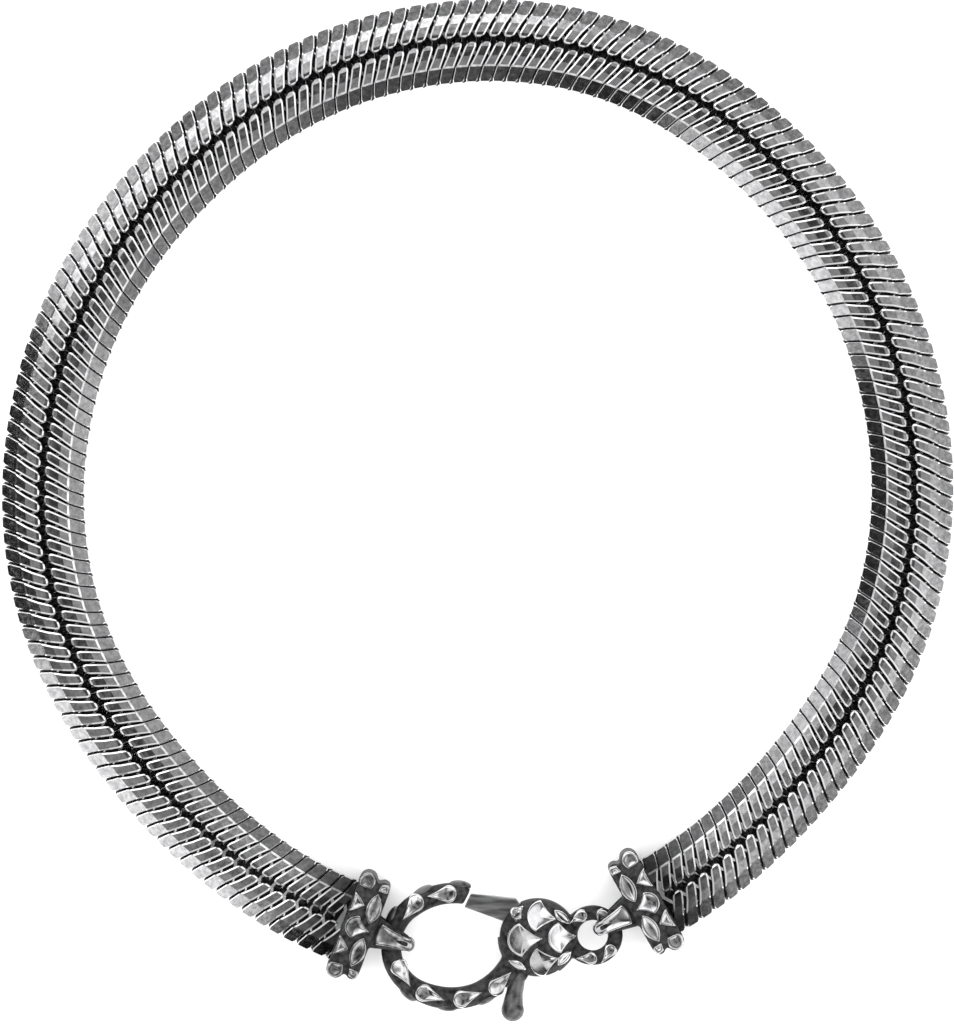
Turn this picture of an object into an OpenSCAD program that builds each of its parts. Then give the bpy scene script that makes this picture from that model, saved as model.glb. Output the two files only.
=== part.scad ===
// Curb chain bracelet, closed and lying flat, seen from above as it is used.
// Millimetres. Origin: on the surface it lies on, below the middle of its outline. +Z up.
// Angles along the chain run clockwise, seen from above, from the side away from the clasp.

/* [Chain] */
// Number of links
link_count = 165; // [150:1:168]
// Width of the chain across both rows
chain_w = 6.1; // [5.8:0.05:6.2]
// Height of the chain
chain_h = 4.4; // [4.0:0.05:4.5]
// Thickness of the flat strip that a link is bent from
strip_t = 0.55; // [0.45:0.01:0.6]
// Width of the dark groove between the two rows
groove_w = 0.5; // [0.4:0.02:0.6]
// Free gap between neighbouring strands of a row, along the chain
strand_gap = 0.16; // [0.14:0.01:0.2]

/* [End caps] */
// Length of a cap across the chain, over its knobs
cap_len = 8.2; // [7.9:0.05:8.4]
// Thickness of a cap along the chain
cap_t = 2.4; // [2.3:0.05:2.6]
// Height of a cap over its raised scales
cap_h = 6.0; // [5.9:0.05:6.2]
// Depth of the socket that the chain's end sits in
socket_depth = 1.0; // [0.8:0.05:1.1]
// Reach of the bail, from the middle of the cap to its tip
bail_reach = 4.3; // [4.2:0.05:4.4]

/* [Clasp] */
// Height of the round housing
housing_h = 4.2; // [4.0:0.05:4.4]
// Half of the housing's width
housing_r = 2.93; // [2.85:0.01:3.0]
// Diameter of the hook ring's wire under its scales
hook_wire_d = 1.5; // [1.4:0.05:1.6]
// Hole of the eye ring
eye_hole_d = 2.2; // [2.1:0.05:2.3]
// Thickness of the lever
lever_t = 1.0; // [0.8:0.05:1.1]
// Diameter of the lever's pin
pin_d = 0.8; // [0.6:0.05:0.9]

/* [Relief] */
// Height of the raised scales over the dark ground
scale_rise = 0.18; // [0.12:0.01:0.22]

/* [Hidden] */
$fn = 64;
fine_fn = 160;
steel_light = [0.72, 0.72, 0.73];
steel_mid = [0.58, 0.58, 0.6];
steel_dark = [0.36, 0.36, 0.38];

// Places, seen from above
ring_at = [0.07, 1.96];
cap_mid_z = cap_h / 2;
left_cap_at = [-8.68, -30.36];
left_cap_turn = -20.5;
right_cap_at = [12.26, -28.66];
right_cap_turn = 209.4;
clasp_at = [-1.8, -31.82];
clasp_turn = 4.3;

// The centreline of the chain as it lies
C_ANGLE = 0;
C_RADIUS = 1;
COURSE = [
    [-225, 36.5],
    [-195, 35.05],
    [-165, 33.45],
    [-135, 32.0],
    [-105, 32.0],
    [-75, 31.55],
    [-45, 31.35],
    [-15, 32.05],
    [15, 32.45],
    [45, 31.75],
    [75, 31.6],
    [105, 31.75],
    [135, 31.8],
    [165, 33.4],
    [195, 35.0]
];
course_step = COURSE[1][C_ANGLE] - COURSE[0][C_ANGLE];

function smooth_mix(p, u) =
    (p[0] * (2 * u * u - u - u * u * u) + p[1] * (2 - 5 * u * u + 3 * u * u * u)
     + p[2] * (u + 4 * u * u - 3 * u * u * u) + p[3] * (u * u * u - u * u)) / 2;
function course_radius(a) =
    let(place = (a - COURSE[0][C_ANGLE]) / course_step, i = floor(place))
    smooth_mix([for (k = [-1:2]) COURSE[i + k][C_RADIUS]], place - i);
function course_point(a) = ring_at + course_radius(a) * [sin(a), cos(a)];
function unit(v) = v / norm(v);
function course_ahead(a) = course_point(a + 0.5) - course_point(a - 0.5);
function course_out(a) = let(t = unit(course_ahead(a))) [-t.y, t.x];
// Millimetres along the centreline for each degree
function course_rate(a) = norm(course_ahead(a));
function angle_of(p) = atan2(p.x - ring_at.x, p.y - ring_at.y);

// The chain lies on the surface and rises to the sockets near the caps
rise_span = 32;
chain_low_z = chain_h / 2;
function ease(t) = let(u = max(0, min(1, t))) u * u * (3 - 2 * u);
function course_z(a) =
    chain_low_z + (cap_mid_z - chain_low_z)
    * ease(1 - min(a - chain_start, chain_end - a) / rise_span);
function chain_point(a, x, z) =
    let(p = course_point(a) + x * course_out(a)) [p.x, p.y, course_z(a) + z];

// One link: a strip bent into a twisted loop, in two lobes. Each row is a bend of the outer lobe:
// face and back of the strip as distance out from the groove and height, how far along the chain
// it has leant, in pitches, and whether the strand has its full width there
L_FACE_X = 0;
L_FACE_Z = 1;
L_BACK_X = 2;
L_BACK_Z = 3;
L_LEAN = 4;
L_FULL = 5;
link_span = 2.5;
tip_x = groove_w / 2;
edge_x = chain_w / 2;
top_z = chain_h / 2;
crease_x = 0.64 * edge_x;
fold_x = tip_x + 0.7 * strip_t;
LOBE = [
    [tip_x, top_z - 0.12, fold_x, top_z - 1.05 * strip_t, 0, 0],
    [tip_x + 0.5, top_z, tip_x + 0.6, top_z - strip_t, 0.12, 1],
    [crease_x, top_z - 0.05, crease_x - 0.2, top_z - strip_t, 0.78, 1],
    [edge_x, 0, edge_x - 1.15 * strip_t, 0, link_span / 2, 1],
    [crease_x, -top_z, crease_x - 0.2, strip_t - top_z, link_span - 0.78, 1],
    [tip_x, -top_z, fold_x, 1.05 * strip_t - top_z, link_span, 0]
];

// Room that the chain's ends keep in their sockets
end_gap = 0.16;
// How far the first strand reaches past the start of its link
strand_reach = 0.34;
end_back = cap_t / 2 - socket_depth + end_gap + strand_reach;
left_cap_angle = angle_of(left_cap_at);
right_cap_angle = angle_of(right_cap_at);
chain_start = left_cap_angle + end_back / course_rate(left_cap_angle);
chain_end = right_cap_angle - end_back / course_rate(right_cap_angle);
length_steps = 200;
angle_step = (chain_end - chain_start) / length_steps;
chain_length = angle_step
    * sumlist([for (i = [0.5:1:length_steps]) course_rate(chain_start + i * angle_step)]);
function sumlist(v, i = 0) = i >= len(v) ? 0 : v[i] + sumlist(v, i + 1);
pitch = chain_length / (link_count - 1 + link_span);
strand_w = pitch - strand_gap;
// Width of a strand where it turns over in the groove
post_w = 0.39 * pitch;

// Where each link starts
link_angles = [for (i = 0, a = chain_start; i < link_count; i = i + 1, a = a + pitch / course_rate(a)) a];

// The strip's cross-section at one bend of link start a: four corners
function bend_corners(a, row, outer) =
    let(side = outer ? 1 : -1,
        lean = outer ? row[L_LEAN] : link_span - row[L_LEAN],
        half = (row[L_FULL] == 1 ? strand_w : post_w) / 2,
        face = [side * row[L_FACE_X], row[L_FACE_Z]],
        back = [side * row[L_BACK_X], row[L_BACK_Z]],
        left = outer ? face : back,
        right = outer ? back : face,
        before = a + (lean * pitch - half) / course_rate(a),
        after = a + (lean * pitch + half) / course_rate(a))
    [chain_point(before, left[0], left[1]), chain_point(after, left[0], left[1]),
     chain_point(after, right[0], right[1]), chain_point(before, right[0], right[1])];
function link_points(a) = concat(
    [for (row = LOBE) each bend_corners(a, row, true)],
    [for (row = LOBE) each bend_corners(a, row, false)]);
bends = 2 * len(LOBE);
// The side before is split on the other diagonal, so that it stays parallel to its neighbour's
// side after
SIDE_BEFORE = 3;
function link_faces(first) = [
    for (i = [0:bends - 1]) for (j = [0:3])
        let(here = first + 4 * i,
            ahead = first + 4 * ((i + 1) % bends),
            p = here + j,
            q = here + (j + 1) % 4,
            r = ahead + (j + 1) % 4,
            s = ahead + j)
        each (j == SIDE_BEFORE ? [[s, q, p], [s, r, q]] : [[r, q, p], [s, r, p]])];

module chain_stretch(first, last) {
    polyhedron(
        points = [for (k = [first:last]) each link_points(link_angles[k])],
        faces = [for (k = [0:last - first]) each link_faces(4 * bends * k)]);
}

module chain_left_half() {
    color(steel_mid) chain_stretch(0, floor(link_count / 2) - 1);
}

module chain_right_half() {
    color(steel_light) chain_stretch(floor(link_count / 2), link_count - 1);
}

// Flat shapes of the scales. A spade has a round back, two corners and hollow flanks to its tip
module spade(half_w, back, tip) {
    flank_sq = half_w * half_w + tip * tip;
    flank_r = 1.25 * flank_sq / (2 * half_w);
    // The hollow's circle cuts a little outside the corners, so that they keep their width
    hollow_at = [tip, half_w] / 2 + 0.97 * sqrt(flank_r * flank_r - flank_sq / 4) * unit([half_w, tip]);
    back_r = (half_w * half_w + back * back) / (2 * back);
    difference() {
        union() {
            polygon([[-0.01, -half_w], [tip, 0], [-0.01, half_w]]);
            intersection() {
                translate([back_r - back, 0]) circle(back_r);
                translate([-2 * back, -half_w]) square([2 * back, 2 * half_w]);
            }
        }
        for (side = [-1, 1])
            translate([hollow_at.x, side * hollow_at.y]) circle(flank_r);
    }
}

// A leaf is what two equal circles share
module leaf(length, width) {
    leaf_r = (length * length + width * width) / (4 * width);
    intersection() {
        translate([0, leaf_r - width / 2]) circle(leaf_r, $fn = fine_fn);
        translate([0, width / 2 - leaf_r]) circle(leaf_r, $fn = fine_fn);
    }
}

// A drop has a round end and runs to a point
module drop(length, width) {
    r = width / 2;
    reach = length - r;
    touch = r * r / reach;
    touch_y = r * sqrt(1 - touch * touch / (r * r));
    circle(r);
    polygon([[touch, -touch_y], [reach, 0], [touch, touch_y]]);
}

// End cap, modelled with the chain behind it and its bail towards +X
bar_half = cap_len / 2;
knob_r = 0.64;
knob_back = 0.5;
front_end_x = cap_t / 2 - 0.05;
bail_root_x = cap_t / 2 + 0.3;
bail_root_half = 1.15;
bail_tip_half = 0.48;
bail_t = 0.45;
bail_hole_x = [cap_t / 2 + 0.35, bail_reach - bail_t];
bail_hole_half = 0.98;
socket_play = 0.18;
dome_r = 14;
// The highest scales are flat on top, where the cap rests
crown_cut = 0.04;

module cap_plan(grow) {
    difference() {
        union() {
            polygon([[-cap_t / 2, -bar_half + knob_r], [front_end_x, -bar_half + 0.4 - grow],
                     [bail_root_x, -bail_root_half], [bail_root_x, bail_root_half],
                     [front_end_x, bar_half - 0.4 + grow], [-cap_t / 2, bar_half - knob_r]]);
            for (side = [-1, 1])
                translate([-knob_back, side * (bar_half - knob_r)]) circle(knob_r);
        }
        for (side = [-1, 1])
            translate([0.3, side * (bar_half + 0.02)]) circle(0.32);
    }
}

// Outline along the bar and height: two shallow domes, top and bottom
module cap_end_view(grow) {
    half_h = cap_h / 2 - scale_rise + grow;
    intersection() {
        translate([0, half_h - dome_r]) circle(dome_r, $fn = fine_fn);
        translate([0, dome_r - half_h]) circle(dome_r, $fn = fine_fn);
        square([cap_len + 1, cap_h], center = true);
    }
}

module cap_side_view(grow) {
    half_h = cap_h / 2 - scale_rise + grow;
    round_r = 0.7;
    front_x = bail_root_x;
    translate([-cap_t / 2, -half_h]) square([front_x + cap_t / 2 - round_r, 2 * half_h]);
    translate([-cap_t / 2, round_r - half_h]) square([front_x + cap_t / 2, 2 * (half_h - round_r)]);
    for (side = [-1, 1])
        translate([front_x - round_r, side * (half_h - round_r)]) circle(round_r);
}

module cap_envelope(grow) {
    intersection() {
        translate([0, 0, -cap_h / 2]) linear_extrude(cap_h) cap_plan(grow);
        translate([-3, 0, 0]) rotate([90, 0, 90]) linear_extrude(6) cap_end_view(grow);
        translate([0, cap_len, 0]) rotate([90, 0, 0]) linear_extrude(2 * cap_len) cap_side_view(grow);
    }
}

// Scales of a cap's face, one side of the middle
module cap_side_scales() {
    translate([0.55, 1.62]) rotate(93) leaf(2.15, 1.0);
    polygon([[-1.08, 0.95], [-0.12, 1.65], [-1.08, 2.3]]);
    translate([-knob_back, bar_half - knob_r - 0.02]) circle(0.56);
    polygon([[0.45, 2.95], [1.02, 3.1], [0.98, 3.68], [0.62, 3.5]]);
}

module cap_scales() {
    cap_side_scales();
    mirror([0, 1]) cap_side_scales();
    translate([-0.2, 0]) spade(0.82, 0.75, 1.08);
}

module chain_outline(play) {
    half_w = edge_x + play;
    half_h = top_z + play;
    polygon([[-half_w, -0.75], [-crease_x - play, -half_h], [crease_x + play, -half_h], [half_w, -0.75],
             [half_w, 0.75], [crease_x + play, half_h], [-crease_x - play, half_h], [-half_w, 0.75]]);
}

module bail_plan() {
    polygon([[0.6, -bail_root_half], [bail_root_x, -bail_root_half],
             [bail_reach - bail_tip_half, -bail_tip_half], [bail_reach - bail_tip_half, bail_tip_half],
             [bail_root_x, bail_root_half], [0.6, bail_root_half]]);
    translate([bail_reach - bail_tip_half, 0]) circle(bail_tip_half);
}

module slot_rounded(x0, x1, half, r) {
    translate([x0, -half]) square([x1 - x0 - r, 2 * half]);
    translate([x0, r - half]) square([x1 - x0, 2 * (half - r)]);
    for (side = [-1, 1])
        translate([x1 - r, side * (half - r)]) circle(r);
}

module bail(grow) {
    intersection() {
        translate([0, 0, -cap_h / 2]) linear_extrude(cap_h) bail_plan();
        translate([0, cap_len / 2, 0]) rotate([90, 0, 0]) linear_extrude(cap_len)
            difference() {
                slot_rounded(0.6, bail_reach, bail_hole_half + bail_t + grow, 1.1);
                slot_rounded(bail_hole_x[0], bail_hole_x[1], bail_hole_half, 0.5);
            }
    }
}

module end_cap() {
    difference() {
        union() {
            cap_envelope(0);
            intersection() {
                cap_envelope(scale_rise + crown_cut);
                for (flip = [0, 180])
                    rotate([flip, 0, 0])
                        translate([0, 0, 0.9]) linear_extrude(cap_h) cap_scales();
            }
        }
        translate([-cap_t / 2 - 0.1, 0, 0]) rotate([90, 0, 90])
            linear_extrude(socket_depth + 0.1) chain_outline(socket_play);
    }
    bail(0);
    intersection() {
        bail(0.1);
        for (flip = [0, 180])
            rotate([flip, 0, 0])
                translate([0, 0, bail_hole_half + 0.1]) linear_extrude(cap_h)
                    translate([bail_root_x + 0.75, 0]) drop(2.2, 1.1);
    }
}

module end_cap_left() {
    color(steel_mid)
        translate([left_cap_at.x, left_cap_at.y, cap_mid_z]) rotate([0, 0, left_cap_turn]) end_cap();
}

module end_cap_right() {
    color(steel_mid)
        translate([right_cap_at.x, right_cap_at.y, cap_mid_z]) rotate([0, 0, right_cap_turn]) end_cap();
}

// Clasp, modelled with the middle of the hook's hole at the origin and the eye towards +X
hook_half_len = 4.54;
hook_half_w = 3.84;
side_arc_r = 3.5;
side_arc_x = side_arc_r - hook_half_len;
// The long arcs run into the side arc without a corner, in the direction meet_a
side_arc_short = hook_half_w - side_arc_r;
long_arc_y = (side_arc_x * side_arc_x - side_arc_short * side_arc_short) / (2 * side_arc_short);
long_arc_r = hook_half_w + long_arc_y;
meet_a = atan2(long_arc_y, side_arc_x);
hook_root_a = 325;
hook_tip_a = 68;
housing_at = [6.2, 0.1];
housing_ball_r = (housing_r * housing_r + housing_h * housing_h / 4) / housing_h;
housing_ball_z = housing_ball_r - housing_h / 2;
eye_at = [10.24, 0];
eye_wire_r = 0.55;
eye_r = eye_hole_d / 2 + eye_wire_r;
pivot_at = [5.0, 1.75];

// Part of a ring: its section is drawn beside the axis, as far out as the ring's radius
module arc(center, a0, a1) {
    translate([center[0], center[1], 0]) rotate([0, 0, a0]) rotate_extrude(angle = a1 - a0) children();
}

module wire_section(ring_r, wire_r) {
    translate([ring_r, 0]) circle(wire_r);
}

// The hook ring: top arc, side arc and bottom arc, which meet without a corner. The long arcs are a
// little thicker and run past the meeting, round the ends of the side arc
meet_past = 4;
meet_thicker = 0.03;
module hook_wire(wire_r) {
    difference() {
        arc([0, -long_arc_y], hook_tip_a, meet_a + meet_past)
            wire_section(long_arc_r, wire_r + meet_thicker);
        beside_tip_plane(0, 1);
    }
    arc([side_arc_x, 0], meet_a, 360 - meet_a) wire_section(side_arc_r, wire_r);
    arc([0, long_arc_y], 360 - meet_a - meet_past, hook_root_a)
        wire_section(long_arc_r, wire_r + meet_thicker);
}

// The gate meets the hook's tip in a slanting plane. A block fills the side of it that is named,
// 1 towards the gate and -1 towards the hook
tip_plane_at = [1.28, 3.5];
tip_plane_turn = -31;
block_w = 6;
module beside_tip_plane(shift, side) {
    translate([tip_plane_at.x + shift, tip_plane_at.y, 0]) rotate([0, 0, tip_plane_turn])
        translate([side * block_w / 2, 0, 0]) cube(block_w, center = true);
}

// The arm grows taller where it runs into the cheeks of the housing
arm_half_w = 0.95;
arm_half_h = 1.3;
module hook_arm() {
    arc([0, long_arc_y], 297, hook_root_a)
        translate([long_arc_r, 0]) {
            for (side = [-1, 1])
                translate([0, side * (arm_half_h - arm_half_w)]) circle(arm_half_w);
            square([2 * arm_half_w, 2 * (arm_half_h - arm_half_w)], center = true);
        }
}

module housing(grow) {
    intersection_for(side = [-1, 1])
        translate([housing_at.x, housing_at.y, side * housing_ball_z])
            sphere(housing_ball_r + grow, $fn = fine_fn);
}

module neck() {
    intersection() {
        translate([7.6, 0, -1.15]) linear_extrude(2.3)
            polygon([[0, -2.1], [1.7, -1.45], [1.7, 1.45], [0, 2.1]]);
        translate([7, 0, 0]) rotate([0, 90, 0]) cylinder(r = 1.85, h = 3);
    }
}

module eye(wire_r) {
    arc(eye_at, 0, 360) wire_section(eye_r, wire_r);
}

// Scales of the housing: place, turn, half width, back, tip
S_X = 0;
S_Y = 1;
S_TURN = 2;
S_HALF = 3;
S_BACK = 4;
S_TIP = 5;
HOUSING_SCALES = [
    [5.02, 0.15, 0, 1.1, 0.85, 1.5],
    [6.42, 1.8, -14, 0.95, 0.75, 1.25],
    [6.35, -1.6, 10, 0.95, 0.75, 1.25],
    [7.85, 0.1, 0, 0.98, 0.8, 1.1],
    [8.4, 1.75, -30, 0.6, 0.6, 0.9],
    [8.35, -1.55, 30, 0.6, 0.6, 0.9],
    [4.75, 2.25, 40, 0.42, 0.45, 0.6],
    [4.7, -2.05, -35, 0.42, 0.45, 0.6],
    [7.2, -2.6, 15, 0.5, 0.5, 0.8],
    [7.3, 2.85, -20, 0.5, 0.5, 0.8]
];
module housing_scales() {
    for (row = HOUSING_SCALES)
        translate([row[S_X], row[S_Y]]) rotate(row[S_TURN]) spade(row[S_HALF], row[S_BACK], row[S_TIP]);
}

// Drops on the hook ring: direction from the hole's middle, distance, turn of the point
D_DIR = 0;
D_DIST = 1;
D_TURN = 2;
HOOK_DROPS = [
    [97, 3.84, 183],
    [132, 4.1, 226],
    [203, 4.2, 298],
    [240, 3.95, 338],
    [281, 3.85, 14],
    [318, 4.35, 42]
];
drop_len = 1.9;
drop_w = 0.95;
hook_scale_r = hook_wire_d / 2 + scale_rise;
module hook_drops() {
    for (row = HOOK_DROPS)
        rotate(row[D_DIR]) translate([row[D_DIST], 0]) rotate(row[D_TURN] - row[D_DIR])
            translate([-drop_len * 0.25, 0]) drop(drop_len, drop_w);
}

// Studs round the outside of the hook ring, between the drops
HOOK_STUDS = [115, 222, 260, 299];
module hook_studs() {
    for (a = HOOK_STUDS)
        rotate([0, 0, a]) translate([3, 0, 0]) rotate([0, 90, 0]) cylinder(r = 0.45, h = 3);
}

EYE_DROPS = [[63, -25], [114, 205], [263, 172], [318, 228]];
module eye_drops() {
    for (row = EYE_DROPS)
        translate(eye_at) rotate(row[0]) translate([eye_r, 0]) rotate(row[1] - row[0])
            translate([-0.2, 0]) drop(1.2, 0.75);
}

// The hollow that the lever turns in
lever_room = 0.12;
slot_half = lever_t / 2 + lever_room;
module lever_slot() {
    translate([0, 0, -slot_half]) linear_extrude(2 * slot_half) {
        translate(pivot_at) circle(1.0);
        polygon([[4.05, 1.9], [3.65, -1.4], [3.2, -4.4], [8.4, -4.6], [7.6, -2.4], [6.2, 1.7]]);
        polygon([[5.1, 2.75], [3.6, 3.5], [1.4, 4.6], [1.2, 0.7], [3.4, 0.35], [4.3, 1.0]]);
    }
}

pin_play = 0.03;
pin_half = 1.5;
module clasp_body() {
    color(steel_dark)
        translate([clasp_at.x, clasp_at.y, cap_mid_z]) rotate([0, 0, clasp_turn])
        difference() {
            union() {
                hook_wire(hook_wire_d / 2);
                hook_arm();
                housing(0);
                neck();
                eye(eye_wire_r);
                intersection() {
                    housing(scale_rise);
                    mirrored() translate([0, 0, 0.75]) linear_extrude(housing_h) housing_scales();
                }
                intersection() {
                    hook_wire(hook_scale_r);
                    union() {
                        mirrored() translate([0, 0, 0.2]) linear_extrude(2) hook_drops();
                        hook_studs();
                    }
                }
                intersection() {
                    eye(eye_wire_r + 0.12);
                    mirrored() translate([0, 0, 0.2]) linear_extrude(2) eye_drops();
                }
            }
            lever_slot();
            translate([pivot_at[0], pivot_at[1], -pin_half - 0.05])
                cylinder(d = pin_d + 2 * pin_play, h = 2 * pin_half + 0.1);
        }
}

module mirrored() {
    children();
    mirror([0, 0, 1]) children();
}

// Gate and tail in one piece, outline seen from above
gate_gap = 0.2;
lever_hole_play = 0.05;
tail_end_at = [3.99, -5.02];
tail_end_r = 0.84;
module lever_outline() {
    difference() {
        union() {
            translate(pivot_at) circle(0.82);
            polygon([[0.6, 2.72], [4.75, 1.0], [5.2, 2.5], [5.0, 2.6], [1.6, 3.95], [0.9, 4.2]]);
            polygon([[4.25, 1.5], [4.05, -2.3], [3.72, -3.6], [3.35, -4.7],
                     [4.75, -4.7], [4.92, -3.6], [5.5, -2.3], [5.78, 1.5]]);
            translate(tail_end_at) circle(tail_end_r);
        }
        translate(pivot_at) circle(pin_d / 2 + lever_hole_play);
    }
}

module clasp_lever() {
    color(steel_mid)
        translate([clasp_at.x, clasp_at.y, cap_mid_z]) rotate([0, 0, clasp_turn]) {
            difference() {
                translate([0, 0, -lever_t / 2]) linear_extrude(lever_t) lever_outline();
                beside_tip_plane(gate_gap, -1);
            }
            translate([tail_end_at.x, tail_end_at.y, 0]) sphere(tail_end_r);
        }
}

module clasp_pin() {
    color(steel_light)
        translate([clasp_at.x, clasp_at.y, cap_mid_z]) rotate([0, 0, clasp_turn])
        translate([pivot_at[0], pivot_at[1], -pin_half]) cylinder(d = pin_d, h = 2 * pin_half);
}

chain_left_half();
chain_right_half();
end_cap_left();
end_cap_right();
clasp_body();
clasp_lever();
clasp_pin();
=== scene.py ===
"""Curb chain bracelet, closed and lying flat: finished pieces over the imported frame, and a plain studio.

Pieces are modelled in millimetres, in the frame of their own sub-assembly, and settled into metres at
their place once they are done.
"""
import logging
import math
from dataclasses import dataclass
from enum import Enum

import bpy
from mathutils import Matrix, Vector


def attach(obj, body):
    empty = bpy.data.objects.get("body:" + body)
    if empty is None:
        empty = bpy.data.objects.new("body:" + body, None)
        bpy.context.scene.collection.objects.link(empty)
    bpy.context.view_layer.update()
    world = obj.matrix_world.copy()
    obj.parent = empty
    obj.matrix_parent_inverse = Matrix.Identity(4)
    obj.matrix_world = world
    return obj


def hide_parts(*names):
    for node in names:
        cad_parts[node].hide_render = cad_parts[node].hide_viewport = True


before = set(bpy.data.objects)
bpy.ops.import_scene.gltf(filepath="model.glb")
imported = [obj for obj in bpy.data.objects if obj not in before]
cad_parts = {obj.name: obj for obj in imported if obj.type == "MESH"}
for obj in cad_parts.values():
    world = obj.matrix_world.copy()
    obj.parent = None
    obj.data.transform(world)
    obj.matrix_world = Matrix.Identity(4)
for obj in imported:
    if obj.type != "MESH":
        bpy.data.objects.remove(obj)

MM = 0.001
LOG = logging.getLogger("bracelet")


class Slot(Enum):
    """The material slots of the record."""

    CHAIN = "chain_silver"
    CAST = "cast_silver"
    SATIN = "satin_silver"


def deselect() -> None:
    """Leaves edit mode and deselects every object."""
    if bpy.context.object and bpy.context.object.mode != "OBJECT":
        bpy.ops.object.mode_set(mode="OBJECT")
    bpy.ops.object.select_all(action="DESELECT")


def take(piece: bpy.types.Object) -> None:
    """Selects one object alone and makes it active.

    Args:
        piece: The object.
    """
    deselect()
    piece.select_set(True)
    bpy.context.view_layer.objects.active = piece


def edit(piece: bpy.types.Object, mode: str = "FACE") -> None:
    """Opens a piece in edit mode with everything selected, to select by vertex, edge or face.

    Args:
        piece: The object to edit.
        mode: VERT, EDGE or FACE.
    """
    take(piece)
    bpy.ops.object.mode_set(mode="EDIT")
    bpy.ops.mesh.select_mode(type=mode)
    bpy.ops.mesh.select_all(action="SELECT")


def leave_edit() -> None:
    """Leaves edit mode with all normals outward."""
    bpy.ops.mesh.select_all(action="SELECT")
    bpy.ops.mesh.normals_make_consistent(inside=False)
    bpy.ops.object.mode_set(mode="OBJECT")


def modify(piece: bpy.types.Object, kind: str, **settings: object) -> None:
    """Adds a modifier and applies it.

    Args:
        piece: The object to change.
        kind: Blender's name for the modifier.
        settings: The modifier's own settings.
    """
    take(piece)
    modifier = piece.modifiers.new(kind.lower(), kind)
    for name, value in settings.items():
        setattr(modifier, name, value)
    bpy.ops.object.modifier_apply(modifier=modifier.name)


def join(pieces: list[bpy.types.Object], name: str) -> bpy.types.Object:
    """Joins objects into the first one and names it.

    Args:
        pieces: The objects to join.
        name: The name of the result.

    Returns:
        The joined object.
    """
    take(pieces[0])
    for piece in pieces[1:]:
        piece.select_set(True)
    if len(pieces) > 1:
        bpy.ops.object.join()
    pieces[0].name = name
    pieces[0].data.name = name
    return pieces[0]


def on_circle(middle: tuple[float, float], radius: float, direction: float) -> tuple[float, float]:
    """The point of a circle, seen from above, in a direction in degrees from +X towards +Y."""
    a = math.radians(direction)
    return (middle[0] + radius * math.cos(a), middle[1] + radius * math.sin(a))


def copy_of(piece: bpy.types.Object, name: str) -> bpy.types.Object:
    """A copy of an object with its own mesh.

    Args:
        piece: The object to copy.
        name: The name of the copy.

    Returns:
        The copy.
    """
    take(piece)
    bpy.ops.object.duplicate(linked=False)
    twin = bpy.context.object
    twin.name = name
    twin.data.name = name
    return twin


def bake_place(piece: bpy.types.Object) -> None:
    """Puts an object's place, turn and scale into its mesh."""
    take(piece)
    bpy.ops.object.transform_apply(location=True, rotation=True, scale=True)


def scrap(*pieces: bpy.types.Object) -> None:
    """Removes helper objects."""
    for piece in pieces:
        bpy.data.objects.remove(piece, do_unlink=True)


def add_node(tree: bpy.types.NodeTree, kind: str, **inputs: object) -> bpy.types.Node:
    """Adds a shader node.

    Args:
        tree: The nodes that it joins.
        kind: Blender's name for it, without ShaderNode.
        inputs: Values for its inputs, with _ for the spaces in their names.

    Returns:
        The node.
    """
    node = tree.nodes.new("ShaderNode" + kind)
    for name, value in inputs.items():
        node.inputs[name.replace("_", " ")].default_value = value
    return node


@dataclass(frozen=True)
class Place:
    """Where a sub-assembly sits in the bracelet.

    Attributes:
        x, y, z: Its origin, in millimetres.
        turn: Its turn about the vertical, in degrees.
    """

    x: float = 0.0
    y: float = 0.0
    z: float = 0.0
    turn: float = 0.0

    def settle(self, piece: bpy.types.Object) -> None:
        """Moves a piece from its own millimetres to its place in metres.

        Args:
            piece: The piece, which then sits at the origin with its place in its mesh.
        """
        move = Matrix.Translation(Vector((self.x, self.y, self.z)) * MM)
        piece.matrix_world = move @ Matrix.Rotation(math.radians(self.turn), 4, "Z") @ Matrix.Scale(MM, 4)
        bake_place(piece)

    def metres(self) -> tuple[float, float, float]:
        """Its origin, in metres."""
        return (self.x * MM, self.y * MM, self.z * MM)


LEFT_CAP = Place(-8.68, -30.36, 3.0, -20.5)
RIGHT_CAP = Place(12.26, -28.66, 3.0, 209.4)
CLASP = Place(-1.8, -31.82, 3.0, 4.3)


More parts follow.
